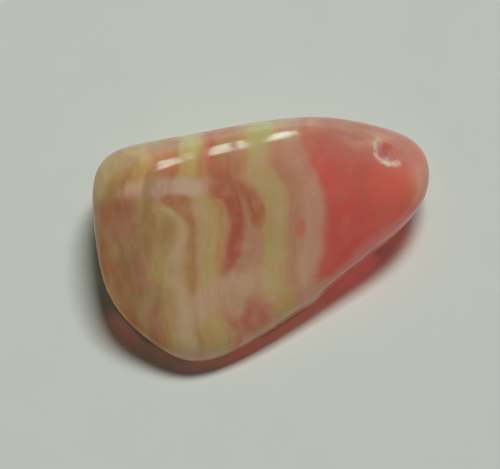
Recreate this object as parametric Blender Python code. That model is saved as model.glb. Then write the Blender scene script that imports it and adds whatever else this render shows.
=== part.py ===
"""Polished pebble of banded rhodochrosite, a tumbled wedge cut from a nodule.

The stone is one solid. It was once a sawn piece with flat faces, and tumbling has worn
its edges into soft curves, so it is built as a block bounded by sixteen faces whose
edges are rounded by a formula. A shallow chip near the pointed end broke out later.

Units are metres with +Z up. The stone lies on its flat underside, with its long side
along X, and the origin is on the table under the middle of its box.

Run with Blender 4.5: blender --background --python part.py
"""

import math

import bmesh
import bpy
import numpy as np
from mathutils import Matrix, Vector, noise

MM = 0.001

# Faces of the block. Azimuth turns from +X towards +Y and elevation rises from level,
# both in degrees, and reach is the face's distance from the block's middle in mm.
FACES = (
    # name, azimuth, elevation, reach
    ("underside", 0, -90, 3.1),
    ("main face", -79, 68.5, 2.9),
    ("upper bevel", 108, 49, 9.0),
    ("left bevel", 193, 51, 11.05),
    ("right shoulder", 43.5, 59, 9.35),
    ("tip slope", -5, 52, 10.9),
    ("back side", 96, -6, 10.05),
    ("back right side", 76, -7, 13.4),
    ("pointed end", -12, -7, 14.4),
    ("long side", -52, -3, 6.6),
    ("front corner", -69, -1, 8.4),
    ("left front side", -119, -14, 12.5),
    ("blunt end", 179, -20, 14.9),
    ("under the blunt end", 184, -51, 8.1),
    ("under the pointed end", -2, -63, 7.0),
    ("under the back", 92, -45, 8.4),
)
# The exponent that rounds the edges: 8 wears them to a radius of 2 to 3 mm, and a
# higher one would leave them sharper.
EDGE_EXPONENT = 8

# Soft hollows and swellings that tumbling left, as the direction they lie in, their
# spread in degrees and their height in mm.
SWELLINGS = (
    # name, azimuth, elevation, spread, height
    ("belly", 115, -62, 62, 0.20),
    ("hollow beside the point", 17, 1, 8, -0.20),
    ("swelling of the long side", -48, -14, 10, 0.20),
    ("hollow by the front left corner", -139, -3, 12, -0.16),
    ("swelling at the red end", 20, 52, 20, 0.10),
    ("hollow in the main face", -120, 60, 22, -0.12),
    ("hollow under the ridge", 150, 62, 15, -0.08),
    ("hollow in the back", 125, 8, 24, -0.20),
)

# Unevenness all over: two sizes of wave, as length and height in mm.
WAVES = ((9.0, 0.10), (4.0, 0.035))
WAVE_SEED = Vector((3.7, 1.2, 8.4))

# The sphere that is pushed out to the surface is flattened like the stone, so that
# its triangles are of much the same size on the broad faces and round the edges.
SPHERE_SUBDIVISIONS = 5
SPHERE_STRETCH = Vector((14.0, 11.0, 4.0))
SHARPEST_FOLD = 11  # degrees between two triangles, over which their edge is split
SHARP_SHADING = 35  # degrees between two triangles, over which their edge looks sharp

REST_FLAT_DEPTH = 0.15  # mm ground off the underside, which leaves a flat to rest on

# The chip is the bite of a flattened ball that leans towards the front left, so that
# its near wall is steep and its far side runs out into the surface.
CHIP_MIDDLE = (10.45, 6.6)  # mm along X and Y
CHIP_BALL = (3.0, 2.8, 1.7)  # mm, the ball's width, length and thickness
CHIP_LIFT = 0.40  # mm, the height of the ball's middle above the surface
CHIP_LEAN = Vector((-0.20, -0.28, 0))  # added to the surface's normal
CHIP_FINE_RADIUS = 2.0  # mm round the chip in which the triangles are finer
CHIP_FINE_PASSES = 2  # times that they are halved

CORAL_RED = (0.62, 0.13, 0.10, 1.0)
POLISHED_ROUGHNESS = 0.16
STONE_IOR = 1.7


def clear_scene():
    for obj in list(bpy.data.objects):
        bpy.data.objects.remove(obj, do_unlink=True)


def new_collection(name):
    collection = bpy.data.collections.new(name)
    bpy.context.scene.collection.children.link(collection)
    return collection


def direction(azimuth, elevation):
    """The unit vector that looks this way, from angles in degrees."""
    turn, rise = math.radians(azimuth), math.radians(elevation)
    level = math.cos(rise)
    return np.array((level * math.cos(turn), level * math.sin(turn), math.sin(rise)))


def block_radius(rays):
    """Distance in mm from the block's middle to its rounded surface along unit rays."""
    normals = np.array([direction(azimuth, elevation) for _, azimuth, elevation, _ in FACES])
    reaches = np.array([reach for *_, reach in FACES])
    nearness = np.maximum(0.0, rays @ normals.T) / reaches
    return (nearness**EDGE_EXPONENT).sum(axis=1) ** (-1 / EDGE_EXPONENT)


def swelling_height(rays):
    """Height in mm that the soft hollows and swellings add along unit rays."""
    height = np.zeros(len(rays))
    for _, azimuth, elevation, spread, peak in SWELLINGS:
        angle = np.arccos(np.clip(rays @ direction(azimuth, elevation), -1, 1))
        height += peak * np.exp(-((angle / math.radians(spread)) ** 2))
    return height


def wave_height(points):
    """Height in mm of the unevenness at points given in mm."""
    return np.array(
        [
            sum(height * noise.noise(Vector(point) / length + WAVE_SEED) for length, height in WAVES)
            for point in points
        ]
    )


def stone_surface(rays):
    """Points in mm on the stone's surface along unit rays from the block's middle."""
    radius = block_radius(rays)
    points = rays * radius[:, None]
    return points + rays * (swelling_height(rays) + wave_height(points))[:, None]


def push_out(bm):
    """Move every vertex along its own ray from the middle to the stone's surface."""
    rays = np.array([vertex.co for vertex in bm.verts])
    rays /= np.linalg.norm(rays, axis=1)[:, None]
    for vertex, point in zip(bm.verts, stone_surface(rays)):
        vertex.co = point
    bm.normal_update()


def refine(bm, edges):
    """Split these edges, and put the new vertices on the stone's surface."""
    bmesh.ops.subdivide_edges(bm, edges=edges, cuts=1, use_grid_fill=True)
    bmesh.ops.triangulate(bm, faces=bm.faces)
    push_out(bm)


def chip_place(bm):
    """The point on top of the stone where the chip is, and the surface's normal there."""
    middle = Vector((*CHIP_MIDDLE, 0))
    above = [face for face in bm.faces if face.normal.z > 0]
    nearest = min(above, key=lambda face: (face.calc_center_median() - middle).xy.length)
    return nearest.calc_center_median(), nearest.normal.copy()


def build_body():
    """The stone before it is chipped, in mm, standing on the table."""
    bm = bmesh.new()
    bmesh.ops.create_icosphere(bm, subdivisions=SPHERE_SUBDIVISIONS, radius=1)
    bmesh.ops.scale(bm, vec=SPHERE_STRETCH, verts=bm.verts)
    push_out(bm)

    # The worn edges and the surround of the chip need finer triangles than the faces.
    fold = math.radians(SHARPEST_FOLD)
    refine(bm, [edge for edge in bm.edges if edge.calc_face_angle() > fold])
    chip, _ = chip_place(bm)
    for _ in range(CHIP_FINE_PASSES):
        refine(bm, [edge for edge in bm.edges if (edge.verts[0].co - chip).length < CHIP_FINE_RADIUS])

    # Grind the flat that the stone rests on.
    lowest = min(vertex.co.z for vertex in bm.verts)
    everything = bm.verts[:] + bm.edges[:] + bm.faces[:]
    cut = bmesh.ops.bisect_plane(
        bm,
        geom=everything,
        plane_co=(0, 0, lowest + REST_FLAT_DEPTH),
        plane_no=(0, 0, -1),
        clear_outer=True,
    )
    rim = [item for item in cut["geom_cut"] if isinstance(item, bmesh.types.BMEdge)]
    bmesh.ops.contextual_create(bm, geom=rim)
    bmesh.ops.recalc_face_normals(bm, faces=bm.faces)
    return bm


def stand_on_table(bm):
    """Shift the stone so that the origin is under the middle of its box."""
    corners = np.array([vertex.co for vertex in bm.verts])
    low, high = corners.min(axis=0), corners.max(axis=0)
    shift = -Vector(((low[0] + high[0]) / 2, (low[1] + high[1]) / 2, low[2]))
    bmesh.ops.translate(bm, vec=shift, verts=bm.verts)


def mesh_object(name, bm, collection, material=None):
    """Turn a bmesh in mm into an object in metres."""
    bmesh.ops.scale(bm, vec=(MM, MM, MM), verts=bm.verts)
    mesh = bpy.data.meshes.new(name)
    bm.to_mesh(mesh)
    bm.free()
    if material:
        mesh.materials.append(material)
    obj = bpy.data.objects.new(name, mesh)
    collection.objects.link(obj)
    return obj


def polished_stone():
    material = bpy.data.materials.new("polished rhodochrosite")
    material.use_nodes = True
    shader = material.node_tree.nodes["Principled BSDF"]
    shader.inputs["Base Color"].default_value = CORAL_RED
    shader.inputs["Roughness"].default_value = POLISHED_ROUGHNESS
    shader.inputs["Metallic"].default_value = 0.0
    shader.inputs["IOR"].default_value = STONE_IOR
    return material


def chip_cutter(place, normal, collection):
    """The flattened ball that bites the chip out of the stone."""
    bm = bmesh.new()
    bmesh.ops.create_icosphere(bm, subdivisions=3, radius=0.5)
    bmesh.ops.scale(bm, vec=CHIP_BALL, verts=bm.verts)
    lean = (normal + CHIP_LEAN).to_track_quat("Z", "Y").to_matrix().to_4x4()
    seat = Matrix.Translation(place + normal * CHIP_LIFT)
    bmesh.ops.transform(bm, matrix=seat @ lean, verts=bm.verts)
    cutter = mesh_object("chip_cutter", bm, collection)
    cutter.hide_render = True
    cutter.display_type = "WIRE"
    return cutter


def main():
    clear_scene()
    parts = new_collection("banded rhodochrosite")
    cutters = new_collection("cutters")

    body = build_body()
    stand_on_table(body)
    place, normal = chip_place(body)

    stone = mesh_object("stone", body, parts, polished_stone())
    stone.data.shade_smooth()
    stone.data.set_sharp_from_angle(angle=math.radians(SHARP_SHADING))

    chip = stone.modifiers.new("chip", "BOOLEAN")
    chip.operation = "DIFFERENCE"
    chip.solver = "EXACT"
    chip.object = chip_cutter(place, normal, cutters)


main()
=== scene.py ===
"""Polished pebble of banded rhodochrosite: the fine surface, its banding, light and camera.

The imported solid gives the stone's place and size. The same block formula, on a much finer
mesh, gives the surface that shows, with the ripples of the polish and the broken face of
the chip. The banding is worked out in 3D by the material, so it runs through the stone
and shows on every side. Lamps that are left out of the diffuse light stand for the window's
reflections, and small red lamps stand for the light that comes through the stone.

Lengths are in mm in the stone's own frame and become metres only where a mesh, a lamp or
a camera is made. +Z is up, and the origin is on the table under the middle of the stone.
"""

import math

import bmesh
import bpy
import numpy as np
from mathutils import Matrix, Vector, noise


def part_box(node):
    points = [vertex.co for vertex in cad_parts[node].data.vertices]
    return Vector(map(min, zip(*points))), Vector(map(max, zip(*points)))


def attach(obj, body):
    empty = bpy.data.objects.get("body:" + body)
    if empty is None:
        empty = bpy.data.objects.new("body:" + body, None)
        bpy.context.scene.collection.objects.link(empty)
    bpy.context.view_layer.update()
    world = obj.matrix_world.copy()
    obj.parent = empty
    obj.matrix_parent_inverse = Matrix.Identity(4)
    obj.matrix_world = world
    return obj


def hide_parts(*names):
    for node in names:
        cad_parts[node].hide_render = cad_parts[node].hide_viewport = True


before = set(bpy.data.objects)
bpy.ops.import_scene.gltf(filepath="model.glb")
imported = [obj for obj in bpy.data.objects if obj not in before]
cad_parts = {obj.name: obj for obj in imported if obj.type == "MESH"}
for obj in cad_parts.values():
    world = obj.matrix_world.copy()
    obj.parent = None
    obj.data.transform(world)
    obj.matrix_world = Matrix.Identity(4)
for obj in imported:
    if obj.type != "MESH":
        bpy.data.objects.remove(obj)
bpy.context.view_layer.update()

MM = 0.001

# ---------------------------------------------------------------- the stone's shape

# Faces of the block. Azimuth turns from +X towards +Y and elevation rises from level,
# both in degrees, and reach is the face's distance from the block's middle in mm.
FACES = (
    # name, azimuth, elevation, reach
    ("underside", 0, -90, 3.1),
    ("main face", -79, 68.5, 2.9),
    ("upper bevel", 108, 49, 9.0),
    ("left bevel", 193, 51, 11.05),
    ("right shoulder", 43.5, 59, 9.35),
    ("tip slope", -5, 52, 10.9),
    ("back side", 96, -6, 10.05),
    ("back right side", 76, -7, 13.4),
    ("pointed end", -12, -7, 14.4),
    ("long side", -52, -3, 6.6),
    ("front corner", -69, -1, 8.4),
    ("left front side", -119, -14, 12.5),
    ("blunt end", 179, -20, 14.9),
    ("under the blunt end", 184, -51, 8.1),
    ("under the pointed end", -2, -63, 7.0),
    ("under the back", 92, -45, 8.4),
)
EDGE_EXPONENT = 8  # rounds the edges: 8 wears them to a radius of 2 to 3 mm

# Soft hollows and swellings that tumbling left.
SWELLINGS = (
    # name, azimuth, elevation, spread in degrees, height in mm
    ("belly", 115, -62, 62, 0.20),
    ("hollow beside the point", 17, 1, 8, -0.20),
    ("swelling of the long side", -48, -14, 10, 0.20),
    ("hollow by the front left corner", -139, -3, 12, -0.16),
    ("swelling at the red end", 20, 52, 20, 0.10),
    ("hollow in the main face", -120, 60, 22, -0.12),
    ("hollow under the ridge", 150, 62, 15, -0.08),
    ("hollow in the back", 125, 8, 24, -0.20),
    ("swelling of the ridge", 128, 36, 22, 0.15),
    ("left knot of the ridge", 134, 34.5, 8, 0.025),
    ("middle knot of the ridge", 94, 38.6, 11, 0.040),
    ("left dimple of the ridge", 139.1, 33.0, 2.2, -0.010),
    ("middle dimple of the ridge", 107.5, 38.8, 2.2, -0.010),
)
WAVES = ((9.0, 0.10), (4.0, 0.035))  # unevenness all over: length and height of each wave
WAVE_SEED = Vector((3.7, 1.2, 8.4))
REST_FLAT_DEPTH = 0.15  # ground off the underside, which leaves a flat to rest on

# The polish: small ripples that break up a highlight, cut into the surface so that the
# stone stays inside its solid's box.
POLISH_DEPTH = 0.042
POLISH_WAVES = ((2.2, 0.004), (0.7, 0.0008))
POLISH_SEED = Vector((11.3, 5.9, 2.2))

SPHERE_SUBDIVISIONS = 7
SPHERE_STRETCH = Vector((14.0, 11.0, 4.0))  # makes triangles of like size all over
SHARP_SHADING = 40  # degrees between two faces, over which their edge looks sharp

# The chip is the bite of a flattened ball that leans towards the front left.
CHIP_MIDDLE = (10.45, 6.6)  # along X and Y
CHIP_BALL = (3.0, 2.8, 1.7)  # the ball's width, length and thickness
CHIP_LIFT = 0.40  # height of the ball's middle above the surface
CHIP_LEAN = Vector((-0.20, -0.28, 0))  # added to the surface's normal
CHIP_FINE = ((3.2, 1), (2.4, 1), (2.1, 1))  # distance within which triangles are halved, and how often
CHIP_RIPPLE = (0.42, 0.022)  # length and height of the ripples of the broken face
CHIP_ROUGH = (0.35, 0.05)  # length and depth of its unevenness

# ---------------------------------------------------------------- the banding

# The growth layers stand square to a plane that leans back by this angle. In it, "across"
# runs along +X and "along" runs up the plane, both from the block's middle, and "out"
# points out of the plane.
BLOCK_MIDDLE = Vector((0.02, 0.0, 2.95))
LAYER_PLANE_LEAN = 22  # degrees

# Linear colours of the layers.
CORAL = (0.78, 0.185, 0.135)
ROSE = (0.72, 0.41, 0.28)
PEACH = (0.67, 0.37, 0.22)
GREEN_GOLD = (0.66, 0.50, 0.22)
CRIMSON = (0.59, 0.17, 0.105)
BLUSH = (0.63, 0.35, 0.20)
CREAM = (0.70, 0.51, 0.29)
BUFF = (0.66, 0.38, 0.19)
STRAW = (0.67, 0.51, 0.20)
APRICOT = (0.59, 0.32, 0.13)
OCHRE = (0.58, 0.41, 0.155)
RUST = (0.51, 0.27, 0.155)
TAN = (0.37, 0.26, 0.10)
OLIVE = (0.50, 0.42, 0.17)
UMBER = (0.40, 0.20, 0.09)
MILK = (0.78, 0.56, 0.40)

# Where each layer's right-hand edge lies across, at each of these heights along. The
# layers bulge to the right in three lobes, which meet near 5.0 and -3.8 along.
LEVELS = (9.1, 6.6, 5.0, 4.0, 2.9, 1.2, -0.8, -2.9, -5.0, -7.5)
LAYERS = (
    # name, colour, half the width over which its edge fades, right-hand edge at each level
    ("crust", TAN, 0.9, (-12.1, -12.0, -11.7, -12.0, -12.5, -11.5, -10.7, -10.2, -9.9, -9.0)),
    ("rust line", RUST, 0.8, (-11.0, -11.0, -10.8, -10.9, -10.1, -9.8, -9.5, -9.2, -8.7, -7.7)),
    ("ochre band", OCHRE, 0.7, (-9.6, -9.4, -9.3, -9.3, -8.8, -7.2, -7.6, -8.2, -7.6, -6.8)),
    ("pale band", CREAM, 0.5, (-9.5, -9.2, -8.6, -8.2, -7.5, -6.3, -6.2, -6.2, -5.7, -5.2)),
    ("apricot band", APRICOT, 0.45, (-7.0, -6.9, -6.7, -6.1, -5.8, -5.5, -5.4, -5.3, -5.2, -4.7)),
    ("cream line", CREAM, 0.4, (-6.8, -6.7, -6.5, -5.7, -4.9, -4.7, -4.7, -4.9, -4.5, -4.5)),
    ("straw line", STRAW, 0.45, (-5.2, -5.2, -5.3, -4.9, -4.1, -3.8, -3.8, -3.9, -3.8, -3.0)),
    ("cream edge", BUFF, 0.4, (-4.8, -4.4, -4.2, -4.2, -3.2, -2.7, -3.0, -3.3, -3.3, -2.2)),
    ("crescent", CRIMSON, 0.4, (-2.1, -2.0, -2.5, -2.1, -1.7, -1.5, -1.7, -2.8, -3.0, -2.0)),
    ("blush band", BLUSH, 0.45, (-2.0, -1.8, -2.2, -1.5, -0.9, -0.7, -0.7, -1.5, -1.5, -1.8)),
    ("peach band", PEACH, 0.5, (-1.8, -1.4, -1.2, 0.0, 0.1, 0.1, 0.1, -0.2, 0.7, 2.5)),
    ("green gold band", GREEN_GOLD, 0.5, (0.5, 0.8, 1.6, 2.1, 2.1, 2.0, 2.0, 1.7, 2.9, 3.2)),
    ("peach line", PEACH, 0.6, (1.2, 2.0, 2.9, 3.1, 3.1, 3.2, 3.0, 3.0, 3.5, 4.0)),
    ("rose band", ROSE, 0.5, (3.3, 3.9, 4.7, 5.0, 5.1, 5.2, 5.0, 4.6, 4.8, 5.2)),
    ("coral heart", CORAL, 0.0, (14.0,) * 10),
)
FIRST_LAYER_WIDTH = 3.0
LAYER_GAP = 0.05  # the least width of a layer
CURVE_REACH = (16.0, 10.0)  # how far across and along the edges' curves can lie

# Lenses and patches of colour in the layers, and patches of painted shade and painted rim light: where
# they lie across, along and out, their half-lengths in those directions, how far they turn in the plane
# and how strong they are.
PATCHES = (
    # name, colour, place, half-lengths, turn in degrees, strength
    ("pale saddle", (0.77, 0.61, 0.46), (-7.8, 4.3, 3.0), (4.6, 1.05, 4.0), 3, 0.9),
    ("cap of the apricot band", (0.60, 0.30, 0.145), (-7.2, 3.2, 3.2), (1.7, 0.75, 3.0), 6, 1.0),
    ("cap of the crescent", (0.60, 0.225, 0.12), (-2.8, 4.1, 3.2), (2.1, 0.95, 3.0), -12, 1.0),
    ("second leg of the crescent", (0.58, 0.20, 0.075), (-0.5, 2.8, 3.2), (0.9, 1.9, 3.0), 8, 1.0),
    ("foot of the crescent", (0.74, 0.50, 0.34), (-3.2, -4.4, 3.2), (4.2, 1.3, 3.0), 30, 0.8),
    ("upper lens", (0.61, 0.33, 0.17), (-2.8, 7.1, 2.0), (1.95, 2.5, 4.0), -8, 0.9),
    ("orange patch by the ridge", (0.62, 0.31, 0.16), (-8.2, 6.7, 2.5), (1.5, 2.2, 4.0), 0, 0.75),
    ("crimson patch low down", (0.63, 0.21, 0.145), (-0.6, -6.1, 2.5), (1.9, 1.7, 4.0), 20, 0.95),
    ("straw patch of the lower lobe", (0.69, 0.47, 0.20), (-3.9, -7.4, 2.5), (0.95, 2.2, 4.0), -14, 0.8),
    ("blush by the straw patch", (0.68, 0.43, 0.25), (-2.6, -5.2, 2.8), (1.3, 1.5, 3.0), 0, 0.7),
    ("ochre patch of the lower lobe", (0.68, 0.43, 0.18), (1.8, -5.3, 2.8), (1.5, 0.9, 3.0), 35, 0.8),
    ("pale foot of the stone", (0.70, 0.50, 0.40), (-5.4, -9.4, 1.0), (3.0, 1.2, 4.0), 0, 0.7),
    ("umber spot", UMBER, (-12.2, 2.4, 2.5), (2.1, 1.1, 3.0), 0, 0.8),
    ("olive corner", OLIVE, (-12.9, 5.6, 1.5), (1.7, 2.6, 4.0), 0, 0.9),
    ("umber flank", UMBER, (-12.0, -2.0, 2.0), (1.3, 3.2, 4.0), 12, 0.6),
    ("rose point", (0.68, 0.27, 0.19), (13.6, 4.4, 1.0), (1.9, 3.0, 4.0), 0, 0.8),
    ("tan point", (0.50, 0.27, 0.16), (14.3, 5.4, 0.5), (1.2, 3.6, 4.0), -10, 0.7),
    ("rose fleck", (0.71, 0.28, 0.18), (3.1, 1.0, 3.0), (0.5, 1.1, 2.5), 0, 0.8),
    ("rose rim of the heart", ROSE, (4.6, -4.4, 2.5), (2.2, 1.2, 3.0), 40, 0.7),
    ("deep heart", (0.76, 0.135, 0.105), (7.6, 0.6, 2.5), (3.0, 3.6, 4.0), 0, 0.7),
    ("pale top of the straw line", (0.64, 0.60, 0.28), (-6.0, 7.6, 2.0), (1.0, 2.6, 4.0), 0, 0.7),
    ("green top of the gold band", (0.58, 0.62, 0.28), (-0.1, 8.3, 2.0), (1.2, 2.8, 4.0), 0, 0.7),
    # painted shade: darkens the shoulder of the heart that faces the window
    ("painted shade on the shoulder of the heart", (0.52, 0.26, 0.20), (9.8, 9.4, 0.0), (9.0, 4.8, 8.0), -8, 0.72),
    # painted light: a pale lavender rim along the lower right edge, for light through the thin edge and
    # the paper's reflection in it
    ("painted rim light of the heart", (0.82, 0.29, 0.27), (8.6, -1.3, 1.0), (6.0, 1.1, 4.0), 41, 0.8),
)

# Distance from a patch's middle, in half-lengths, at which it has faded out and is full.
PATCH_FADE = (1.15, 0.45)

# Swirls that move all the colours about: size, reach, and shift of the pattern, in mm.
SWIRLS = (
    (4.5, 0.28, (0.0, 0.0, 0.0)),
    (1.3, 0.12, (17.0, 3.0, 9.0)),
)
SWIRL_GAIN = 4.0  # noise keeps within about a quarter of its middle value

# Blotches in the oldest layers, and fine lines along all the layers.
BLOTCHES = (
    # colour, size in mm, detail, shift of the pattern in mm, strength
    (RUST, 1.8, 1.5, 5.0, 0.6),
    (OLIVE, 1.5, 1.5, 21.0, 0.5),
    (UMBER, 1.3, 2.0, 43.0, 0.4),
)
BLOTCH_FLOW = 0.45  # below 1, which draws them out along the layers
BLOTCH_START = (0.46, 0.66)  # noise at which a blotch starts and is full
OLDEST = (-6.0, -9.0)  # how far across the oldest layers begin and are at their full

# Clouds: size in mm, detail, noise at which one starts and is full, and strength.
MILK_CLOUDS = (2.0, 2.5, 0.45, 0.72, 0.32)
MILK_THINS = (4.0, 6.5)  # how far across it thins out, towards the heart
MILK_LEAST = 0.3  # the share of it left in the heart and in the oldest layers
DUSK = (0.60, 0.19, 0.12)  # duller clouds in the heart
DUSK_CLOUDS = (1.7, 3.0, 0.42, 0.68, 0.45)
DUSK_SHIFT = 31.0  # of the pattern, in mm
DUSK_GROWS = (4.5, 7.0)  # how far across it grows from none to full
BACK_SHADE_TINT = (0.84, 1.0, 0.98)  # painted shade: the back, which faces the window, holds less red
BACK_SHADE_GROWS = (6.0, 10.0)  # how far along the painted shade grows from none to full
LINES = (
    # colour, how many to a layer, strength
    (CREAM, 3.4, 0.20),
    (CRIMSON, 2.1, 0.15),
)
LINE_FLOW = 0.2  # below 1, which draws the lines out along the layers
LINE_DETAIL = 2.0
LINE_START = (0.42, 0.68)  # noise at which a line starts and is full
LINES_END = (5.0, 4.0)  # how far across there are none, and all of them
POLISHED, BROKEN = 0.075, 0.55  # roughness of the polish and of the chip
STONE_IOR = 1.65
LIGHT_REACH = (1.0, 0.25, 0.12)  # how far red, green and blue light spread, against each other
LIGHT_REACH_SCALE = 8.0  # how far red light spreads
MOST_NOISE = (0.3, 0.7)  # nearly all values of a noise lie between these

# Broken grains whiten the chip's rim, all round but for one side, and scuffs lie beside it.
SCAR = (0.90, 0.80, 0.66)
CHIP_PLACE = Vector((10.45, 6.6, 6.15))
CHIP_RIM = (1.20, 0.62)  # its radius and half the width of its whitened ring
CHIP_WOBBLE = (0.6, 0.78, 1.15)  # size of its wobble, and its least and greatest radius as shares
CHIP_WHITEST = 0.05  # how near the ring's middle it is fully white
CHIP_OPEN = Vector((0.79, 0.60, -0.10))  # the side where the rim isn't whitened
CHIP_OPEN_FADE = (0.3, 0.0)  # how far the place lies that way where the white is gone, and full
CHIP_WORST = Vector((-0.45, -0.85, 0.30))  # the side where it is whitest
CHIP_WORST_FADE = (-0.3, 0.9, 0.3, 1.0)  # how far it lies that way, and how white it is there
GRAINS = (0.34, 0.6, 0.4, 1.0)  # noise from and to which the grains whiten it from and to
GRAIN_SIZE = 0.45
SCUFFS = ((8.6, 7.2, 6.3), (4.0, 2.6, 3.0))  # their middle, and how far they reach
SCUFF_FADE = (1.0, 0.3)  # share of that reach at which they are gone, and full
SCUFF_CLOUDS = (1.5, 2.0, 0.42, 0.7, 0.32)  # as for the clouds above
BITE_FADE = 0.8  # share of the rim's radius within which the break is fully dull
BITE_DULLNESS = 0.6  # how dull it is against the rim's white grains


def direction(azimuth, elevation):
    """The unit vector that looks this way, from angles in degrees."""
    turn, rise = math.radians(azimuth), math.radians(elevation)
    level = math.cos(rise)
    return np.array((level * math.cos(turn), level * math.sin(turn), math.sin(rise)))


def block_radius(rays):
    """Distance from the block's middle to its rounded surface along unit rays."""
    normals = np.array([direction(azimuth, elevation) for _, azimuth, elevation, _ in FACES])
    reaches = np.array([reach for *_, reach in FACES])
    nearness = np.maximum(0.0, rays @ normals.T) / reaches
    return (nearness**EDGE_EXPONENT).sum(axis=1) ** (-1 / EDGE_EXPONENT)


def swelling_height(rays):
    """Height that the soft hollows and swellings add along unit rays."""
    height = np.zeros(len(rays))
    for _, azimuth, elevation, spread, peak in SWELLINGS:
        angle = np.arccos(np.clip(rays @ direction(azimuth, elevation), -1, 1))
        height += peak * np.exp(-((angle / math.radians(spread)) ** 2))
    return height


def wave_height(points, waves, seed):
    """Height of these waves at the points."""
    return np.array(
        [
            sum(height * noise.noise(Vector(point) / length + seed) for length, height in waves)
            for point in points
        ]
    )


def stone_surface(rays):
    """Points on the stone's surface along unit rays from the block's middle."""
    points = rays * block_radius(rays)[:, None]
    height = swelling_height(rays) + wave_height(points, WAVES, WAVE_SEED)
    polish = wave_height(points, POLISH_WAVES, POLISH_SEED) - POLISH_DEPTH
    return points + rays * (height + polish)[:, None]


def push_out(bm):
    """Move every vertex along its own ray from the middle to the stone's surface."""
    rays = np.array([vertex.co for vertex in bm.verts])
    rays /= np.linalg.norm(rays, axis=1)[:, None]
    for vertex, point in zip(bm.verts, stone_surface(rays)):
        vertex.co = point
    bm.normal_update()


def chip_place(bm, middle):
    """The point on top of the stone where the chip is, and the surface's normal there."""
    above = [vertex for vertex in bm.verts if vertex.normal.z > 0]
    nearest = min(above, key=lambda vertex: (vertex.co - middle).xy.length)
    return nearest.co.copy(), nearest.normal.copy()


def refine_near(bm, place, distance):
    """Halve the triangles within this distance of a place on the surface."""
    edges = [edge for edge in bm.edges if (edge.verts[0].co - place).length < distance]
    bmesh.ops.subdivide_edges(bm, edges=edges, cuts=1, use_grid_fill=True)
    bmesh.ops.triangulate(bm, faces=bm.faces)
    push_out(bm)


def bite_chip(bm, place, normal):
    """Sink the surface inside the leaning ball to the ball's far side, with ripples."""
    lean = (normal + CHIP_LEAN).to_track_quat("Z", "Y").to_matrix()
    to_ball = Matrix.Diagonal([2 / width for width in CHIP_BALL]) @ lean.transposed()
    ball = place + normal * CHIP_LIFT
    down = to_ball @ -normal
    ripple_length, ripple_height = CHIP_RIPPLE
    rough_length, rough_depth = CHIP_ROUGH
    for vertex in bm.verts:
        start = to_ball @ (vertex.co - ball)
        inside = 1 - start.length_squared
        if inside <= 0:
            continue
        half = start.dot(down)
        depth = (math.sqrt(half * half + down.length_squared * inside) - half) / down.length_squared
        spot = vertex.co - normal * depth
        edge_fade = min(1.0, depth / CHIP_LIFT)
        ripple = ripple_height * math.cos(math.tau * (spot - place).length / ripple_length)
        rough = rough_depth * noise.fractal(spot / rough_length, 1.0, 2.0, 3)
        vertex.co = spot - normal * edge_fade * (ripple_height + ripple + abs(rough))
    bm.normal_update()


def grind_rest_flat(bm):
    """Cut off the flat that the stone rests on."""
    lowest = min(vertex.co.z for vertex in bm.verts)
    cut = bmesh.ops.bisect_plane(
        bm,
        geom=bm.verts[:] + bm.edges[:] + bm.faces[:],
        plane_co=(0, 0, lowest + REST_FLAT_DEPTH),
        plane_no=(0, 0, -1),
        clear_outer=True,
    )
    rim = [item for item in cut["geom_cut"] if isinstance(item, bmesh.types.BMEdge)]
    bmesh.ops.contextual_create(bm, geom=rim)
    bmesh.ops.recalc_face_normals(bm, faces=bm.faces)


def seat_in_solid(bm, low, high):
    """Shift the stone so that its underside and its middle are those of its CAD solid."""
    corners = np.array([vertex.co for vertex in bm.verts])
    own_low, own_high = corners.min(axis=0), corners.max(axis=0)
    middle = (low + high) / (2 * MM)
    shift = middle - Vector((own_low + own_high) / 2)
    shift.z = low.z / MM - own_low[2]
    bmesh.ops.translate(bm, vec=shift, verts=bm.verts)
    return shift


def mesh_object(name, bm, material):
    """Turn a bmesh in mm into an object in metres."""
    bmesh.ops.scale(bm, vec=(MM, MM, MM), verts=bm.verts)
    mesh = bpy.data.meshes.new(name)
    bm.to_mesh(mesh)
    bm.free()
    mesh.materials.append(material)
    mesh.shade_smooth()
    obj = bpy.data.objects.new(name, mesh)
    bpy.context.scene.collection.objects.link(obj)
    return obj


def build_stone(material):
    """The stone at its real size, in place of its CAD solid."""
    bm = bmesh.new()
    bmesh.ops.create_icosphere(bm, subdivisions=SPHERE_SUBDIVISIONS, radius=1)
    bmesh.ops.scale(bm, vec=SPHERE_STRETCH, verts=bm.verts)
    push_out(bm)
    chip_middle = Vector((*CHIP_MIDDLE, 0)) - BLOCK_MIDDLE
    place, _ = chip_place(bm, chip_middle)
    for distance, times in CHIP_FINE:
        for _ in range(times):
            refine_near(bm, place, distance)
    place, normal = chip_place(bm, chip_middle)
    bite_chip(bm, place, normal)
    grind_rest_flat(bm)
    seat_in_solid(bm, *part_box("stone"))
    stone = mesh_object("rhodochrosite_pebble", bm, material)
    stone.data.set_sharp_from_angle(angle=math.radians(SHARP_SHADING))
    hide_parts("stone")
    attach(stone, "root")
    return stone


# ---------------------------------------------------------------- material


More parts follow.
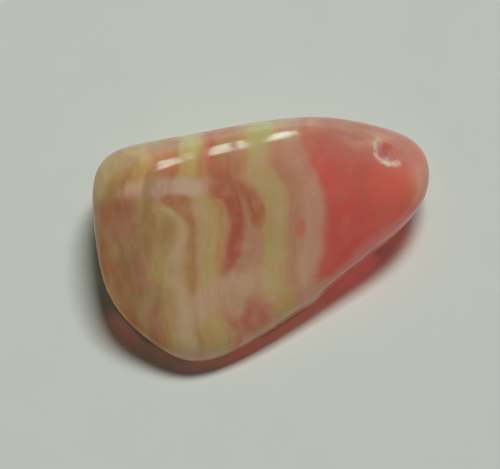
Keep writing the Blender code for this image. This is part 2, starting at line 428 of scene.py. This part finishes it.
class Graph:
    """Short names for building a material's nodes."""

    def __init__(self, material):
        self.tree = material.node_tree

    def add(self, kind, inputs=None, **settings):
        """A new node with these settings, and with values or links put in its inputs."""
        made = self.tree.nodes.new(kind)
        for name, value in settings.items():
            setattr(made, name, value)
        for name, value in (inputs or {}).items():
            self.put(made.inputs[name], value)
        return made

    def put(self, socket, value):
        if isinstance(value, bpy.types.NodeSocket):
            self.tree.links.new(value, socket)
        else:
            socket.default_value = value

    def math(self, operation, *values, clamp=False):
        made = self.add("ShaderNodeMath", dict(enumerate(values)), operation=operation, use_clamp=clamp)
        return made.outputs[0]

    def vector(self, operation, *values):
        made = self.add("ShaderNodeVectorMath", dict(enumerate(values)), operation=operation)
        return made.outputs["Value" if operation in ("LENGTH", "DOT_PRODUCT") else "Vector"]

    def join(self, x, y, z):
        return self.add("ShaderNodeCombineXYZ", {"X": x, "Y": y, "Z": z}).outputs[0]

    def noise(self, place, size, detail=2.0, roughness=0.5):
        """Noise from 0 to 1 with features of this size, at places given in mm."""
        settings = {"Vector": place, "Scale": 1 / size, "Detail": detail, "Roughness": roughness}
        return self.add("ShaderNodeTexNoise", settings).outputs["Fac"]

    def span(self, value, start, end, low=0.0, high=1.0, smooth=False):
        """The value's place between start and end, as a number from low to high."""
        shape = "SMOOTHSTEP" if smooth else "LINEAR"
        inputs = {"Value": value, "From Min": start, "From Max": end, "To Min": low, "To Max": high}
        return self.add("ShaderNodeMapRange", inputs, interpolation_type=shape).outputs["Result"]

    def mix(self, share, first, second, blend="MIX"):
        """The first colour turned into the second by this share."""
        made = self.add("ShaderNodeMix", data_type="RGBA", blend_type=blend)
        for socket, value in ((0, share), (6, first), (7, second)):
            self.put(made.inputs[socket], opaque(value) if isinstance(value, tuple) else value)
        return made.outputs[2]


def opaque(colour):
    return (*colour, 1.0)


def layer_space(graph):
    """Places in mm from the block's middle, turned so that X is across and Y is along."""
    place = graph.add("ShaderNodeTexCoord").outputs["Object"]
    place = graph.vector("MULTIPLY", place, (1 / MM,) * 3)
    place = graph.vector("SUBTRACT", place, tuple(BLOCK_MIDDLE))
    lean = math.radians(-LAYER_PLANE_LEAN)
    inputs = {"Vector": place, "Angle": lean}
    return graph.add("ShaderNodeVectorRotate", inputs, rotation_type="X_AXIS").outputs[0]


def wander(graph, place, size, reach, shift):
    """The places moved about by up to about this reach, in swirls of this size."""
    shifted = graph.vector("ADD", place, shift)
    settings = {"Vector": shifted, "Scale": 1 / size, "Detail": 1.0}
    swirl = graph.add("ShaderNodeTexNoise", settings).outputs["Color"]
    swirl = graph.vector("SUBTRACT", swirl, (0.5,) * 3)
    return graph.vector("ADD", place, graph.vector("MULTIPLY", swirl, (SWIRL_GAIN * reach,) * 3))


def edge_curve(graph, along, places):
    """How far across a layer's edge lies at this height along."""
    wide, high = CURVE_REACH
    curve = graph.add("ShaderNodeFloatCurve", {"Value": graph.span(along, -high, high)})
    curve.mapping.extend = "HORIZONTAL"
    points = curve.mapping.curves[0].points
    while len(points) < len(LEVELS):
        points.new(0.5, 0.5)
    for point, level, edge in zip(points, reversed(LEVELS), reversed(places)):
        point.location = ((level + high) / (2 * high), (edge + wide) / (2 * wide))
    curve.mapping.update()
    return graph.span(curve.outputs[0], 0.0, 1.0, -wide, wide)


def layers(graph, across, along):
    """The layers' colours, and a number that counts up by one across each of them."""
    edge = edge_curve(graph, along, LAYERS[0][3])
    number = graph.span(across, graph.math("SUBTRACT", edge, FIRST_LAYER_WIDTH), edge)
    colour = LAYERS[0][1]
    for (_, _, fade, _), (_, next_colour, _, places) in zip(LAYERS, LAYERS[1:]):
        past = graph.math("SUBTRACT", across, edge)
        colour = graph.mix(graph.span(past, -fade, fade, smooth=True), colour, next_colour)
        last = edge
        edge = edge_curve(graph, along, places)
        edge = graph.math("MAXIMUM", edge, graph.math("ADD", last, LAYER_GAP))
        number = graph.math("ADD", number, graph.span(across, last, edge))
    return colour, number


def patch_share(graph, place, middle, halves, turn, strength):
    """How much of a patch's colour shows: all of it in its middle, none past its edge."""
    offset = graph.vector("SUBTRACT", place, middle)
    inputs = {"Vector": offset, "Angle": math.radians(-turn)}
    offset = graph.add("ShaderNodeVectorRotate", inputs, rotation_type="Z_AXIS").outputs[0]
    offset = graph.vector("DIVIDE", offset, halves)
    return graph.span(graph.vector("LENGTH", offset), *PATCH_FADE, 0.0, strength, smooth=True)


def clouds(graph, place, size, detail, start, full, strength):
    """How much of a cloud's colour shows."""
    return graph.span(graph.noise(place, size, detail), start, full, 0.0, strength, smooth=True)


def mottling(graph, place, across, along, colour):
    """The colour with blotches in the oldest layers, milky and dusky clouds, and painted shade, less
    red, at the back that faces the window.
    """
    old = graph.span(across, *OLDEST, smooth=True)
    drawn_out = graph.vector("MULTIPLY", place, (1.0, BLOTCH_FLOW, BLOTCH_FLOW))
    for blotch, size, detail, shift, strength in BLOTCHES:
        moved = graph.vector("ADD", drawn_out, (shift,) * 3)
        share = clouds(graph, moved, size, detail, *BLOTCH_START, strength)
        colour = graph.mix(graph.math("MULTIPLY", share, old), colour, blotch)
    milk = clouds(graph, place, *MILK_CLOUDS)
    milk = graph.math("MULTIPLY", milk, graph.span(across, *MILK_THINS, 1.0, MILK_LEAST))
    milk = graph.math("MULTIPLY", milk, graph.span(old, 0.0, 1.0, 1.0, MILK_LEAST))
    colour = graph.mix(milk, colour, MILK)
    moved = graph.vector("ADD", place, (DUSK_SHIFT,) * 3)
    dusk = clouds(graph, moved, *DUSK_CLOUDS)
    dusk = graph.math("MULTIPLY", dusk, graph.span(across, *DUSK_GROWS))
    colour = graph.mix(dusk, colour, DUSK)
    # painted shade: less red towards the back, which faces the window
    rim = graph.span(along, *BACK_SHADE_GROWS, smooth=True)
    return graph.mix(rim, colour, BACK_SHADE_TINT, "MULTIPLY")


def growth_lines(graph, number, across, along, out, colour):
    """The colour with fine pale and red lines along all the layers but the heart."""
    banded = graph.span(across, *LINES_END)
    for line, count, strength in LINES:
        place = graph.join(
            graph.math("MULTIPLY", number, count),
            graph.math("MULTIPLY", along, LINE_FLOW),
            graph.math("MULTIPLY", out, LINE_FLOW),
        )
        share = clouds(graph, place, 1.0, LINE_DETAIL, *LINE_START, strength)
        colour = graph.mix(graph.math("MULTIPLY", share, banded), colour, line)
    return colour


def chip_marks(graph):
    """How white the chip's rim is, how scuffed the stone beside it, and how dull both are."""
    place = graph.add("ShaderNodeTexCoord").outputs["Object"]
    place = graph.vector("MULTIPLY", place, (1 / MM,) * 3)
    offset = graph.vector("SUBTRACT", place, tuple(CHIP_PLACE))
    distance = graph.vector("LENGTH", offset)
    towards = graph.vector("NORMALIZE", offset)
    radius, half_width = CHIP_RIM
    wobble_size, least, greatest = CHIP_WOBBLE
    wobble = graph.noise(place, wobble_size)
    wobble = graph.span(wobble, *MOST_NOISE, least * radius, greatest * radius)
    rim = graph.math("ABSOLUTE", graph.math("SUBTRACT", distance, wobble))
    rim = graph.span(rim, half_width, CHIP_WHITEST, smooth=True)
    shut = graph.vector("DOT_PRODUCT", towards, tuple(CHIP_OPEN))
    shut = graph.span(shut, *CHIP_OPEN_FADE, smooth=True)
    worst = graph.span(graph.vector("DOT_PRODUCT", towards, tuple(CHIP_WORST)), *CHIP_WORST_FADE)
    grains = graph.span(graph.noise(place, GRAIN_SIZE), *GRAINS)
    white = graph.math("MULTIPLY", rim, shut)
    white = graph.math("MULTIPLY", white, graph.math("MULTIPLY", worst, grains))
    middle, reach = SCUFFS
    near = graph.vector("DIVIDE", graph.vector("SUBTRACT", place, middle), reach)
    near = graph.span(graph.vector("LENGTH", near), *SCUFF_FADE, smooth=True)
    scuffs = graph.math("MULTIPLY", clouds(graph, place, *SCUFF_CLOUDS), near)
    bite = graph.span(distance, radius, BITE_FADE * radius)
    bite = graph.math("MULTIPLY", bite, BITE_DULLNESS)
    return white, scuffs, graph.math("MAXIMUM", white, bite)


def polished_rhodochrosite():
    material = bpy.data.materials.new("polished rhodochrosite")
    material.use_nodes = True
    graph = Graph(material)
    shader = material.node_tree.nodes["Principled BSDF"]

    place = layer_space(graph)
    for size, reach, shift in SWIRLS:
        place = wander(graph, place, size, reach, shift)
    parts = graph.add("ShaderNodeSeparateXYZ", {"Vector": place}).outputs
    across, along, out = parts["X"], parts["Y"], parts["Z"]
    colour, number = layers(graph, across, along)
    for _, patch_colour, middle, halves, turn, strength in PATCHES:
        share = patch_share(graph, place, middle, halves, turn, strength)
        colour = graph.mix(share, colour, patch_colour)
    colour = growth_lines(graph, number, across, along, out, colour)
    colour = mottling(graph, place, across, along, colour)
    white, scuffs, dull = chip_marks(graph)
    colour = graph.mix(scuffs, colour, MILK)
    colour = graph.mix(white, colour, SCAR)

    graph.put(shader.inputs["Base Color"], colour)
    graph.put(shader.inputs["Roughness"], graph.span(dull, 0.0, 1.0, POLISHED, BROKEN))
    shader.inputs["IOR"].default_value = STONE_IOR
    shader.inputs["Subsurface Weight"].default_value = 1.0
    shader.inputs["Subsurface Radius"].default_value = LIGHT_REACH
    shader.inputs["Subsurface Scale"].default_value = LIGHT_REACH_SCALE * MM
    return material


# ---------------------------------------------------------------- table, light, camera

PAPER = (0.74, 0.79, 0.715)
PAPER_CLOUD = (6.0, 4.0, 0.6)  # size, detail and roughness of its uneven tone
PAPER_DARKEST = 0.975  # its darkest tone against its palest
PAPER_ROUGHNESS, PAPER_SHINE = 0.9, 0.1
PAPER_LIGHT = 1.6  # what a square metre of it gives off in full light, in watts
PAPER_FLAT = 700.0  # radius of its level part
PAPER_EDGE = 150.0  # height and depth of the edge that curls up round it
PAPER_RINGS = 12
PAPER_STEPS = 96  # round the sheet

# A window lights the stone from behind on the right but isn't mirrored in it. Separate
# panes, left out of the diffuse light, stand for its reflections.
LAMP_DISTANCE = 2500.0
WINDOW = (68, 61.5)  # azimuth and elevation of its middle
WINDOW_ROLL = 43  # degrees that its long side turns down from level
WINDOW_SPAN = (24, 13)  # degrees wide and high
WINDOW_LIGHT = 2.3  # on a face square to it
PANES = (
    # distance of its middle along and across the window, width, height and slant in degrees,
    # and brightness, where paper in full light has about 0.5
    (-20.7, 4, 1.5, 30, 8, 7.4),
    (-13.2, -2, 2.6, 30, 11, 6.8),
    (-5.9, 2, 2.4, 26, 17, 5.2),
    (-2.7, 8, 3.6, 26, 17, 4.6),
    (1.6, 14, 4.4, 22, 17, 3.6),
)
PANE_COLOUR = (0.70, 1.0, 0.89)

# A real stone lets red light through onto the paper, which this one's shader doesn't throw.
# Red lamps under its rim stand for that light. They face away from it and aren't seen.
SIDE_GLOWS = (
    # where a strip's foot starts and ends along X and Y, the heights of its foot and top, how
    # far it leans out in degrees, and how bright it is against the paper
    ((12.15, 3.05), (9.25, 0.15), 0.6, 2.4, 38, 0.7),
    ((9.25, 0.15), (6.25, -2.65), 0.1, 1.8, 38, 0.8),
    ((6.3, -2.7), (3.9, -4.85), 0.1, 1.6, 32, 0.7),
    ((3.9, -4.85), (0.65, -7.15), 0.1, 1.4, 28, 0.7),
    ((0.65, -7.15), (-3.2, -9.2), 0.1, 1.3, 25, 0.65),
    ((-3.2, -9.2), (-6.1, -9.7), 0.1, 1.3, 25, 0.55),
    ((-6.1, -9.7), (-9.9, -7.8), 0.1, 1.6, 28, 0.22),
    ((-9.9, -7.8), (-12.15, -5.2), 0.1, 2.0, 30, 0.35),
)
SIDE_GLOW_COLOUR = (1.0, 0.10, 0.09)

FILL = (0.9, 0.95, 1.0)
FILL_STRENGTH = 0.038

CAMERA_ELEVATION = 68
CAMERA_DISTANCE = 220.0
CAMERA_AIM = Vector((-0.98, 0.42, 3.12))
CAMERA_LENS = 190.7
CAMERA_SENSOR = 36.0
CAMERA_SEES = (0.01, 20.0)  # nearest and furthest, in metres


def paper_material():
    material = bpy.data.materials.new("pale paper")
    material.use_nodes = True
    graph = Graph(material)
    shader = material.node_tree.nodes["Principled BSDF"]
    place = graph.vector("MULTIPLY", graph.add("ShaderNodeTexCoord").outputs["Object"], (1 / MM,) * 3)
    cloud = graph.noise(place, *PAPER_CLOUD)
    shade = graph.span(cloud, *MOST_NOISE)
    dark = tuple(PAPER_DARKEST * part for part in PAPER)
    graph.put(shader.inputs["Base Color"], graph.mix(shade, dark, PAPER))
    shader.inputs["Roughness"].default_value = PAPER_ROUGHNESS
    shader.inputs["Specular IOR Level"].default_value = PAPER_SHINE
    return material


def side_glow(number, start, end, foot, top, lean, brightness):
    """A lit strip under the stone's rim that faces away from the stone."""
    start, end = Vector((*start, foot)), Vector((*end, foot))
    along = (end - start).normalized()
    upward = Matrix.Rotation(math.radians(-lean), 3, along) @ Vector((0, 0, 1))
    height = (top - foot) / upward.z
    name = f"side_glow_{number}"
    light = bpy.data.lights.new(name, "AREA")
    light.shape = "RECTANGLE"
    light.size, light.size_y = (end - start).length * MM, height * MM
    light.color = SIDE_GLOW_COLOUR
    light.energy = brightness * PAPER_LIGHT * light.size * light.size_y
    lamp = bpy.data.objects.new(name, light)
    middle = (start + end) / 2 + upward * height / 2
    lamp.matrix_world = Matrix(
        [(*column, 0) for column in (along, upward, along.cross(upward))] + [(*(middle * MM), 1)]
    ).transposed()
    lamp.visible_camera = False
    lamp.visible_glossy = False
    bpy.context.scene.collection.objects.link(lamp)


def lay_floor():
    """A sheet of paper, level round the stone and curled up all round its edge."""
    steps = [index * math.pi / 2 / PAPER_RINGS for index in range(PAPER_RINGS + 1)]
    profile = [(0.0, 0.0)]
    profile += [
        (PAPER_FLAT + PAPER_EDGE * math.sin(step), PAPER_EDGE * (1 - math.cos(step))) for step in steps
    ]
    bm = bmesh.new()
    spots = [bm.verts.new((radius, 0, height)) for radius, height in profile]
    edges = [bm.edges.new(pair) for pair in zip(spots, spots[1:])]
    bmesh.ops.spin(
        bm,
        geom=spots + edges,
        axis=(0, 0, 1),
        cent=(0, 0, 0),
        angle=math.tau,
        steps=PAPER_STEPS,
        use_merge=True,
    )
    bmesh.ops.remove_doubles(bm, verts=bm.verts, dist=0.01)
    bmesh.ops.recalc_face_normals(bm, faces=bm.faces)
    floor = mesh_object("paper", bm, paper_material())


def window_light(name, along, across, width, height, slant, glow):
    """A lit rectangle, placed by angles in degrees from the middle of the window."""
    middle = Vector(direction(*WINDOW))
    side = Matrix.Rotation(math.radians(WINDOW_ROLL), 3, middle) @ middle.cross((0, 0, 1)).normalized()
    towards = middle.copy()
    towards.rotate(Matrix.Rotation(math.radians(across), 3, -side))
    towards.rotate(Matrix.Rotation(math.radians(along), 3, middle.cross(side)))
    reach = LAMP_DISTANCE * MM
    light = bpy.data.lights.new(name, "AREA")
    light.shape = "RECTANGLE"
    light.size = 2 * reach * math.tan(math.radians(width / 2))
    light.size_y = 2 * reach * math.tan(math.radians(height / 2))
    light.energy = glow * math.pi * light.size * light.size_y
    lamp = bpy.data.objects.new(name, light)
    side = (side - towards * side.dot(towards)).normalized()
    side = Matrix.Rotation(math.radians(-slant), 3, towards) @ side
    lamp.matrix_world = Matrix(
        [(*column, 0) for column in (side, towards.cross(side), towards)] + [(0, 0, 0, 1)]
    ).transposed()
    lamp.matrix_world.translation = towards * reach
    bpy.context.scene.collection.objects.link(lamp)
    return lamp


def light_scene():
    width, height = WINDOW_SPAN
    window = window_light("window", 0, 0, width, height, 0, 1.0)
    solid_angle = window.data.size * window.data.size_y / (LAMP_DISTANCE * MM) ** 2
    window.data.energy *= WINDOW_LIGHT / solid_angle
    window.visible_glossy = False
    for number, pane_place in enumerate(PANES, 1):
        pane = window_light(f"pane_{number}", *pane_place)
        pane.data.color = PANE_COLOUR
        pane.visible_diffuse = False
    for number, glow in enumerate(SIDE_GLOWS, 1):
        side_glow(number, *glow)

    world = bpy.data.worlds.new("studio")
    bpy.context.scene.world = world
    world.use_nodes = True
    background = world.node_tree.nodes["Background"]
    background.inputs["Color"].default_value = opaque(FILL)
    background.inputs["Strength"].default_value = FILL_STRENGTH


def place_camera():
    data = bpy.data.cameras.new("camera")
    data.lens = CAMERA_LENS
    data.sensor_width = CAMERA_SENSOR
    data.clip_start, data.clip_end = CAMERA_SEES
    camera = bpy.data.objects.new("camera", data)
    back = Vector(direction(-90, CAMERA_ELEVATION))
    camera.location = (CAMERA_AIM + back * CAMERA_DISTANCE) * MM
    camera.rotation_euler = back.to_track_quat("Z", "Y").to_euler()
    bpy.context.scene.collection.objects.link(camera)
    bpy.context.scene.camera = camera


def main():
    place_camera()
    build_stone(polished_rhodochrosite())
    lay_floor()
    light_scene()
    bpy.context.scene.view_settings.view_transform = "Standard"


main()
